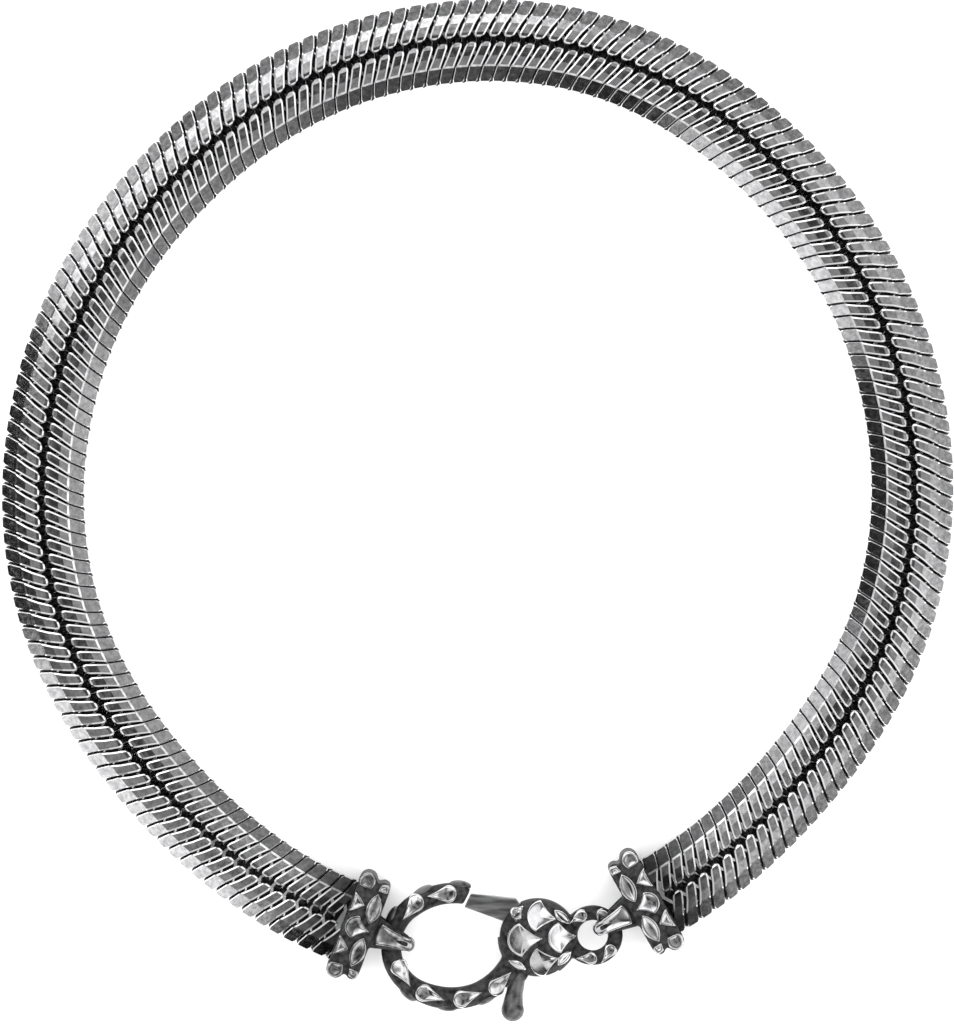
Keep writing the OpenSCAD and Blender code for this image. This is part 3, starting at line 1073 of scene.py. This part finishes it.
@dataclass
class EndCap:
    """An end cap: a scaled bar with two knobs, a socket for the chain and a tapering bail.

    Modelled with the chain behind it and the bail towards +X.

    Attributes:
        half_length: Half of the bar's length across the chain, without its knobs.
        half_height: Half of its height at the middle.
        back, front: Where the bar starts and ends along X.
        crown: How much lower the bar is at its ends, as a share of its height.
        edge: Radius of its rounded edges.
        bail_thick: Thickness of the bail.
    """

    half_length: float = 3.55
    half_height: float = 2.76
    back: float = -1.2
    front: float = 1.22
    crown: float = 0.16
    edge: float = 0.28
    bail_thick: float = 0.45

    # Where the bar is cut across, to follow its crown
    CUTS = (-2.7, -1.4, 1.4, 2.7)
    # Knobs of one side: place forward and across, radius, half height and rounding
    KNOBS = ((-0.52, 3.42, 0.63, 2.5, 0.25), (0.75, 3.3, 0.42, 2.42, 0.2))
    # Two corners of the hollow that takes the chain's end, and how far beyond it the casting is black
    SOCKET = ((-1.6, -3.22, -2.3), (-0.2, 3.22, 2.3))
    BLACK = (0.1, 0.08, 0.1)

    # Bail, from its root over the tip: forward, height, heading and width
    BAIL = (
        (0.6, 1.43, 0.0, 2.3),
        (1.5, 1.43, 0.0, 2.25),
        (2.4, 1.43, 0.0, 1.75),
        (3.2, 1.43, -4.0, 1.3),
        (3.75, 1.28, -30.0, 1.02),
        (4.15, 0.88, -60.0, 0.76),
        (4.3, 0.33, -90.0, 0.6),
    )

    def bar(self) -> bpy.types.Object:
        """The bar, crowned along its length.

        Returns:
            The bar, without its knobs.
        """
        corner = (self.half_length, self.half_height)
        bar = block((self.back, -corner[0], -corner[1]), (self.front, *corner))
        for y in self.CUTS:
            edit(bar)
            bpy.ops.mesh.bisect(plane_co=(0.0, y, 0.0), plane_no=(0.0, 1.0, 0.0))
            leave_edit()
        for vertex in bar.data.vertices:
            vertex.co.z *= 1.0 - (vertex.co.y / self.half_length) ** 2 * self.crown
        modify(bar, "BEVEL", width=self.edge, segments=3, limit_method="ANGLE",
               angle_limit=math.radians(50.0))
        return bar

    def bail(self) -> bpy.types.Object:
        """The closed bail that hangs on the clasp.

        Returns:
            The bail, towards +X.
        """
        rows = list(self.BAIL)
        rows += [(out, -high, -180.0 - head, wide) for out, high, head, wide in reversed(self.BAIL)]
        bends = [Bend(out, high, head, 0.0, wide) for out, high, head, wide in rows]
        bail = bent_strip(bends, self.bail_thick)
        close_band(bail, (len(rows) - 1, 0))
        bail.rotation_euler.z = -math.pi / 2
        bake_place(bail)
        return bail

    def pads(self) -> list[Pad]:
        """The scales of one face.

        Returns:
            The scales.
        """
        side = [
            Pad(leaf(2.3, 1.1), 0.56, 1.66, 93.0),
            Pad(outline([(-1.06, 0.9, 0.05), (-0.1, 1.68, 0.05), (-1.06, 2.4, -0.05)])),
            Pad(outline([(-1.0, 2.95, 0.02), (-0.1, 2.85, 0.02), (0.02, 3.45, 0.1), (-0.5, 3.98, 0.12),
                         (-1.02, 3.6, 0.06)])),
            Pad(outline([(0.38, 2.95, 0.03), (1.06, 2.98, 0.1), (0.98, 3.58, 0.03), (0.55, 3.5, 0.0)])),
        ]
        middle = Pad(spade(0.9, 0.78, 1.05), -0.2)
        on_bail = Pad(outline([(1.55, -0.8, -0.03), (3.95, -0.4, 0.3), (3.95, 0.4, -0.03), (1.55, 0.8, 0.2)]))
        return side + [pad.mirrored() for pad in side] + [middle, on_bail]

    def blacken(self, cap: bpy.types.Object) -> None:
        """Blackens the walls of the socket and the rear round it.

        Args:
            cap: The cap, with its scales.
        """
        reach = [size + beyond for size, beyond in zip(self.SOCKET[1], self.BLACK)]
        cap.data.materials.append(BLACKENED.material())
        for face in cap.data.polygons:
            at = face.center
            if face.material_index == 0 and at.x < reach[0] and abs(at.y) < reach[1] and abs(at.z) < reach[2]:
                face.material_index = 2

    def build(self) -> None:
        """Builds the cap, copies it and hands both over."""
        knobs = [column(x, side * y, radius, half, soft)
                 for side in (-1, 1) for x, y, radius, half, soft in self.KNOBS]
        cap = cast([self.bar(), self.bail()] + knobs, "cap", grid=0.09, soften=9)
        carve(cap, block(*self.SOCKET))
        scales = lay_scales(self.pads(), cap, "cap_scales")
        cap = finish_casting(cap, scales, "cap")
        self.blacken(cap)
        # The left cap's scales take the darker copy of the scale finish, as painted shade
        for place, side, scale in ((LEFT_CAP, "left", SHADED_SCALE), (RIGHT_CAP, "right", SCALE)):
            piece = copy_of(cap, f"cap_{side}")
            piece.data.materials[1] = scale.material()
            place.settle(piece)
            hand_over(piece, "bracelet", Slot.CAST, f"end_cap_{side}")
        scrap(cap)


@dataclass
class Clasp:
    """The clasp's casting: hook ring, scaled housing, neck and eye.

    Modelled with the middle of the hook's hole at the origin and the eye towards +X.

    Attributes:
        wire: Radius of the hook's wire.
        side_r, side_x: Radius of the hook's round left side, and the place of its middle.
        long_r, long_y: Radius of its two flatter sides, and how far their middles lie across.
        meet: Direction in which they meet the left side, in degrees.
        tip_from, root_to: Directions at which the wire's middle starts and ends, in degrees.
        cut_at, slant: A point of the tip's slanting cut, and the direction that the cut faces.
        housing_at, housing_r, housing_half: Middle, radius and half height of the housing.
        eye_x, eye_r, eye_wire: Place of the eye's middle, and radii of its wire's middle and of the wire.
        slot_half: Half height of the lever's slot.
        hub_room: Radius of the slot round the lever's hub.
    """

    wire: float = 0.75
    side_r: float = 3.5
    side_x: float = -1.04
    long_r: float = 5.2606
    long_y: float = 1.4206
    meet: float = 126.2
    tip_from: float = 62.0
    root_to: float = 325.0
    cut_at: tuple[float, float] = (1.28, 3.5)
    slant: float = -31.0
    housing_at: tuple[float, float] = (6.2, 0.1)
    housing_r: float = 2.93
    housing_half: float = 2.05
    eye_x: float = 10.24
    eye_r: float = 1.65
    eye_wire: float = 0.55
    slot_half: float = 0.62
    hub_room: float = 1.0

    # Points of the wire on the tip's side, the left side and the root's side
    STEPS = (25, 25, 30)
    # The wire is made in two stretches: points of the first one, and how many of them the second one shares
    TIP_POINTS = 20
    SHARED = 2
    # How much thicker the wire is at its tip, and how much it grows on the root's side: by what share over
    # the first points, and by what share over the last ones
    TIP_THICKER = 0.04
    GROWTH = ((0.1, 6), (0.2, 12))
    # Length and width of the drops, and how far a drop's middle lies from its round end's
    HOOK_DROP = (2.25, 1.14)
    EYE_DROP = (1.6, 0.82)
    DROP_MIDDLE = 0.475
    # Radii of the studs, and how far out of the wire's middle theirs lies
    STUD = (0.36, 0.82, 0.62)
    STUD_OUT = 0.6
    # Points of the wire within this angle of a stud tell how far out the wire is there, in radians
    BESIDE = 0.06
    USUAL_REACH = 3.9
    # Place, turn, half width, back and tip of the spades, and place, turn, length and width of the leaves
    HOUSING_SCALES = (
        (5.0, 0.15, 0.0, 1.2, 0.95, 1.6),
        (6.35, 1.72, -14.0, 1.1, 0.8, 1.35),
        (6.3, -1.55, 10.0, 1.1, 0.8, 1.35),
        (7.75, 0.1, 0.0, 1.1, 0.85, 1.2),
        (4.85, 2.05, 40.0, 0.5, 0.45, 0.7),
    )
    HOUSING_LEAVES = (
        (8.02, 1.52, -46.0, 1.45, 0.62),
        (7.98, -1.38, 42.0, 1.4, 0.62),
        (4.62, -1.62, -31.0, 1.4, 0.55),
    )
    # Direction from the hole's middle, distance and turn of the hook's drops, direction and turn of the
    # eye's drops, and directions of the studs
    HOOK_DROPS = (
        (97.0, 3.84, 183.0),
        (132.0, 4.1, 226.0),
        (203.0, 4.2, 298.0),
        (240.0, 3.95, 338.0),
        (281.0, 3.85, 14.0),
        (318.0, 4.35, 42.0),
    )
    EYE_DROPS = ((63.0, -25.0), (114.0, 205.0), (263.0, 172.0), (318.0, 228.0))
    HOOK_STUDS = (79.0, 115.0, 150.0, 222.0, 260.0, 299.0, 327.0)
    # Outlines of the slot in which the tail and the gate move
    SLOT = (
        ((6.2, 1.7), (7.6, -2.4), (8.4, -4.6), (3.2, -4.4), (3.65, -1.4), (4.05, 1.9)),
        ((4.3, 1.0), (3.4, 0.35), (1.2, 0.7), (1.4, 4.6), (3.6, 3.6), (5.3, 3.1)),
    )

    def ring_points(self) -> list[tuple[float, float, float]]:
        """The middle of the hook's wire from its tip round to its root, with its radius.

        Returns:
            Place and radius for each point.
        """
        points = []
        steps = self.STEPS[0]
        for i in range(steps):
            direction = self.tip_from + (self.meet - self.tip_from) * i / steps
            points.append((*on_circle((0.0, -self.long_y), self.long_r, direction),
                           self.wire * (1.0 + self.TIP_THICKER)))
        steps = self.STEPS[1]
        for i in range(steps):
            direction = self.meet + (360.0 - 2 * self.meet) * i / steps
            points.append((*on_circle((self.side_x, 0.0), self.side_r, direction), self.wire))
        last = self.STEPS[2] - 1
        (early, early_points), (late, late_points) = self.GROWTH
        for i in range(last + 1):
            direction = 360.0 - self.meet + (self.root_to - 360.0 + self.meet) * i / last
            thick = 1.0 + early * min(1.0, i / early_points)
            thick += late * max(0.0, i - last + late_points) / late_points
            points.append((*on_circle((0.0, self.long_y), self.long_r, direction), self.wire * thick))
        return points

    def hook(self) -> list[bpy.types.Object]:
        """The hook's wire, cut on the slant at its tip.

        Returns:
            Its two overlapping stretches.
        """
        points = self.ring_points()
        tip = tube(points[:self.TIP_POINTS])
        cut_off(tip, self.cut_at, self.slant, True)
        return [tip, tube(points[self.TIP_POINTS - self.SHARED:])]

    def neck(self) -> bpy.types.Object:
        """The neck between the housing and the eye.

        Returns:
            The neck.
        """
        deselect()
        bpy.ops.mesh.primitive_cone_add(vertices=48, radius1=2.0, radius2=1.3, depth=1.6,
                                        location=(8.15, 0.0, 0.0), rotation=(0.0, math.pi / 2, 0.0))
        neck = bpy.context.object
        # The cone lies on its side, so this halves its height
        neck.scale.x = 0.5
        bake_place(neck)
        return neck

    def eye(self) -> bpy.types.Object:
        """The eye ring that the right bail hangs on.

        Returns:
            The ring.
        """
        deselect()
        bpy.ops.mesh.primitive_torus_add(major_radius=self.eye_r, minor_radius=self.eye_wire,
                                         major_segments=64, minor_segments=24,
                                         location=(self.eye_x, 0.0, 0.0))
        eye = bpy.context.object
        bake_place(eye)
        return eye

    def studs(self) -> list[bpy.types.Object]:
        """Scales on the outer side of the hook's wire, between the drops.

        Returns:
            The studs.
        """
        studs = []
        for direction in self.HOOK_STUDS:
            a = math.radians(direction)
            reach = min((math.hypot(x, y) for x, y, _ in self.ring_points()
                         if abs(math.atan2(y, x) % math.tau - a) < self.BESIDE), default=self.USUAL_REACH)
            stud = ball((0.0, 0.0, 0.0), self.STUD)
            stud.rotation_euler.z = a
            stud.location = (*on_circle((0.0, 0.0), reach + self.STUD_OUT, direction), 0.0)
            bake_place(stud)
            studs.append(stud)
        return studs

    def pads(self) -> list[Pad]:
        """The scales of one face.

        Returns:
            The scales.
        """
        pads = [Pad(spade(half, back, tip), x, y, turn)
                for x, y, turn, half, back, tip in self.HOUSING_SCALES]
        pads += [Pad(leaf(length, width), x, y, turn)
                 for x, y, turn, length, width in self.HOUSING_LEAVES]
        for direction, distance, turn in self.HOOK_DROPS:
            middle = on_circle((0.0, 0.0), distance, direction)
            pads.append(Pad(drop(*self.HOOK_DROP), *on_circle(middle, -self.DROP_MIDDLE, turn), turn))
        for direction, turn in self.EYE_DROPS:
            middle = on_circle((self.eye_x, 0.0), self.eye_r, direction)
            pads.append(Pad(drop(*self.EYE_DROP), *middle, turn))
        return pads

    def build(self) -> None:
        """Casts the clasp, cuts the lever's slot and lays the scales."""
        housing = ball((*self.housing_at, 0.0), (self.housing_r, self.housing_r, self.housing_half))
        clasp = cast([housing, self.neck(), self.eye()] + self.hook(), "clasp", grid=0.09, soften=10)
        scales = lay_scales(self.pads(), clasp, "clasp_scales")
        room = self.slot_half
        slot = [prism(list(points), -room, room) for points in self.SLOT]
        carve(clasp, *slot, column(*Lever.pivot, self.hub_room, room))
        studs = join(self.studs(), "clasp_studs")
        bpy.ops.object.shade_smooth()
        dress(studs, TAIL_METAL)
        clasp = join([finish_casting(clasp, scales, "clasp"), studs], "clasp")
        CLASP.settle(clasp)
        hand_over(clasp, "bracelet", Slot.CAST, "clasp_body")


@dataclass
class Lever:
    """The gate and its thumb tail, one satin piece that turns on the pin.

    Attributes:
        half_thick: Half thickness of the gate and the shank.
        pivot: Place of the pin in the clasp.
        bulb_at, bulb_r: Middle and radius of the tail's round end.
        hub_r, hole_r: Radius of the hub round the pin, and of its hole.
        tip_gap: Distance along X between the hook's cut and the gate's.
        dark_from: Place across the clasp below which the metal is darkened.
    """

    half_thick: float = 0.5
    pivot: tuple[float, float] = (5.0, 1.75)
    bulb_at: tuple[float, float] = (3.99, -5.02)
    bulb_r: float = 0.84
    hub_r: float = 0.82
    hole_r: float = 0.46
    tip_gap: float = 0.2
    dark_from: float = -1.0

    # Outlines of the gate and of the shank
    GATE = ((0.6, 2.95), (4.75, 1.1), (5.2, 2.5), (4.85, 3.12), (1.6, 3.7), (0.9, 3.9))
    SHANK = ((4.25, 1.5), (4.05, -2.3), (4.0, -2.9), (5.1, -2.9), (5.5, -2.3), (5.78, 1.5))
    # Middle and radius of the round tail, downwards
    TAIL = ((4.62, -2.35, 0.5), (4.5, -2.8, 0.57), (4.36, -3.3, 0.6), (4.22, -3.8, 0.62), (4.1, -4.3, 0.7),
            (4.02, -4.75, 0.78))

    def build(self) -> None:
        """Builds the lever and hands it over."""
        half = self.half_thick
        gate = prism(list(self.GATE), -half, half)
        cut_off(gate, (Clasp.cut_at[0] + self.tip_gap, Clasp.cut_at[1]), Clasp.slant, False)
        shank = prism(list(self.SHANK), -half, half)
        tail = tube([(x, y, radius) for x, y, radius in self.TAIL])
        bulb = ball((*self.bulb_at, 0.0), (self.bulb_r, self.bulb_r, self.bulb_r))
        hub = column(*self.pivot, self.hub_r, half)
        lever = cast([gate, shank, tail, hub, bulb], "lever_piece", grid=0.07, soften=3)
        carve(lever, column(*self.pivot, self.hole_r, 2 * half))
        dress(lever, SATIN, TAIL_METAL)
        for face in lever.data.polygons:
            face.material_index = 1 if face.center.y < self.dark_from else 0
        CLASP.settle(lever)
        hand_over(lever, "lever", Slot.SATIN, "clasp_lever")


@dataclass
class Studio:
    """The floor, the camera straight above and the soft studio light.

    Attributes:
        view_at: Point of the floor under the photograph's middle, in millimetres.
        view_height: What the photograph's height spans, in millimetres.
        camera_z: Height of the camera, in millimetres.
        plane_z: Height at which the view's scale holds, in millimetres.
        sensor: Height of the camera's sensor, in millimetres.
    """

    view_at: tuple[float, float] = (-0.05, -0.13)
    view_height: float = 74.96
    camera_z: float = 500.0
    plane_z: float = 2.2
    sensor: float = 36.0

    # Cards round the bracelet: azimuth from the eye side anticlockwise, elevation, size, soft edge, strength
    CARDS = (
        (123.0, 54.0, 17.0, 9.0, 1.05),
        (66.0, 54.0, 13.0, 14.0, 0.32),
        (10.0, 54.0, 13.0, 14.0, 0.36),
        (324.0, 54.0, 12.0, 12.0, 0.38),
        (236.0, 54.0, 12.0, 12.0, 0.22),
        (218.0, 12.0, 10.0, 13.0, 0.86),
        (14.0, 12.0, 24.0, 17.0, 0.34),
        (326.0, 12.0, 8.0, 28.0, 0.22),
        (92.0, 12.0, 32.0, 15.0, 0.2),
        (146.0, 12.0, 6.0, 10.0, 0.64),
        (280.0, 12.0, 4.0, 24.0, 0.05),
    )
    # Rings of light, by the sine of their height: where one starts, is full, fades and ends, and its strength
    RINGS = ((0.38, 0.54, 0.8, 0.88, 0.75), (0.952, 0.982, 0.99, 1.002, 0.25))
    # Light of the room as metal mirrors it, and as the floor and the plain view have it
    AMBIENT = 0.022
    EVEN = 2.9

    def floor(self) -> None:
        """A plain pale floor."""
        deselect()
        bpy.ops.mesh.primitive_plane_add(size=3.0)
        floor = bpy.context.object
        floor.name = "studio_floor"
        paper = bpy.data.materials.new("studio_paper")
        paper.use_nodes = True
        shader = paper.node_tree.nodes["Principled BSDF"]
        shader.inputs["Base Color"].default_value = (0.9, 0.9, 0.9, 1.0)
        shader.inputs["Roughness"].default_value = 0.9
        shader.inputs["Specular IOR Level"].default_value = 0.0
        floor.data.materials.append(paper)

    def camera(self) -> None:
        """A camera straight above, at the photograph's angle."""
        lens = bpy.data.cameras.new("studio_camera")
        lens.sensor_fit = "VERTICAL"
        lens.sensor_height = self.sensor
        lens.lens = self.sensor * (self.camera_z - self.plane_z) / self.view_height
        lens.clip_start = 0.01
        camera = bpy.data.objects.new("studio_camera", lens)
        camera.location = Vector((self.view_at[0], self.view_at[1], self.camera_z)) * MM
        bpy.context.scene.collection.objects.link(camera)
        bpy.context.scene.camera = camera

    def soft_step(self, tree: bpy.types.NodeTree, value: bpy.types.NodeSocket, ends: tuple[float, float],
                  tones: tuple[float, float]) -> bpy.types.NodeSocket:
        """Nodes that run softly from one tone to another while a value passes between two ends.

        Args:
            tree: The light's nodes.
            value: What passes between the ends.
            ends: Where the run starts and ends.
            tones: The tones before and after it.

        Returns:
            The tone.
        """
        step = add_node(tree, "MapRange", From_Min=ends[0], From_Max=ends[1], To_Min=tones[0],
                        To_Max=tones[1])
        step.interpolation_type = "SMOOTHSTEP"
        tree.links.new(value, step.inputs["Value"])
        return step.outputs["Result"]

    def light(self) -> None:
        """Soft cards and rings of light in a dim room, which the polished metal mirrors."""
        world = bpy.data.worlds.new("studio_light")
        world.use_nodes = True
        tree = world.node_tree
        links = tree.links
        room = tree.nodes["Background"]
        room.inputs["Color"].default_value = (1.0, 1.0, 1.0, 1.0)
        towards = add_node(tree, "TexCoord")
        dim = add_node(tree, "Value")
        dim.outputs["Value"].default_value = self.AMBIENT
        total = dim.outputs["Value"]
        for azimuth, elevation, size, soft, strength in self.CARDS:
            a = math.radians(azimuth)
            e = math.radians(elevation)
            facing = add_node(tree, "VectorMath")
            facing.operation = "DOT_PRODUCT"
            flat = math.cos(e)
            facing.inputs[1].default_value = (flat * math.cos(a), flat * math.sin(a), math.sin(e))
            links.new(towards.outputs["Generated"], facing.inputs[0])
            edges = (math.cos(math.radians(size + soft)), math.cos(math.radians(size)))
            both = add_node(tree, "Math")
            links.new(total, both.inputs[0])
            links.new(self.soft_step(tree, facing.outputs["Value"], edges, (0.0, strength)), both.inputs[1])
            total = both.outputs["Value"]
        heights = add_node(tree, "SeparateXYZ")
        links.new(towards.outputs["Generated"], heights.inputs["Vector"])
        for start, full, fade, end, strength in self.RINGS:
            ring = add_node(tree, "Math")
            ring.operation = "MULTIPLY_ADD"
            height = heights.outputs["Z"]
            links.new(self.soft_step(tree, height, (start, full), (0.0, strength)), ring.inputs[0])
            links.new(self.soft_step(tree, height, (fade, end), (1.0, 0.0)), ring.inputs[1])
            links.new(total, ring.inputs[2])
            total = ring.outputs["Value"]
        # Polished metal mirrors the cards. The floor and the plain view of the room get their even light
        path = add_node(tree, "LightPath")
        even = add_node(tree, "Mix", B=self.EVEN)
        links.new(total, even.inputs["A"])
        plain = add_node(tree, "Math")
        plain.operation = "MAXIMUM"
        links.new(path.outputs["Is Camera Ray"], plain.inputs[0])
        links.new(path.outputs["Is Diffuse Ray"], plain.inputs[1])
        links.new(plain.outputs["Value"], even.inputs["Factor"])
        links.new(even.outputs["Result"], room.inputs["Strength"])
        bpy.context.scene.world = world

    def build(self) -> None:
        """Sets up the studio."""
        self.floor()
        self.camera()
        self.light()
        bpy.context.scene.view_settings.view_transform = "Standard"


def main() -> None:
    """Builds every sub-assembly in order."""
    logging.basicConfig(level=logging.INFO, format="%(message)s")
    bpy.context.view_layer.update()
    Studio().build()
    Chain().build()
    EndCap().build()
    Clasp().build()
    Lever().build()
    dress(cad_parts["clasp_pin"], SATIN)


if __name__ == "__main__":
    main()
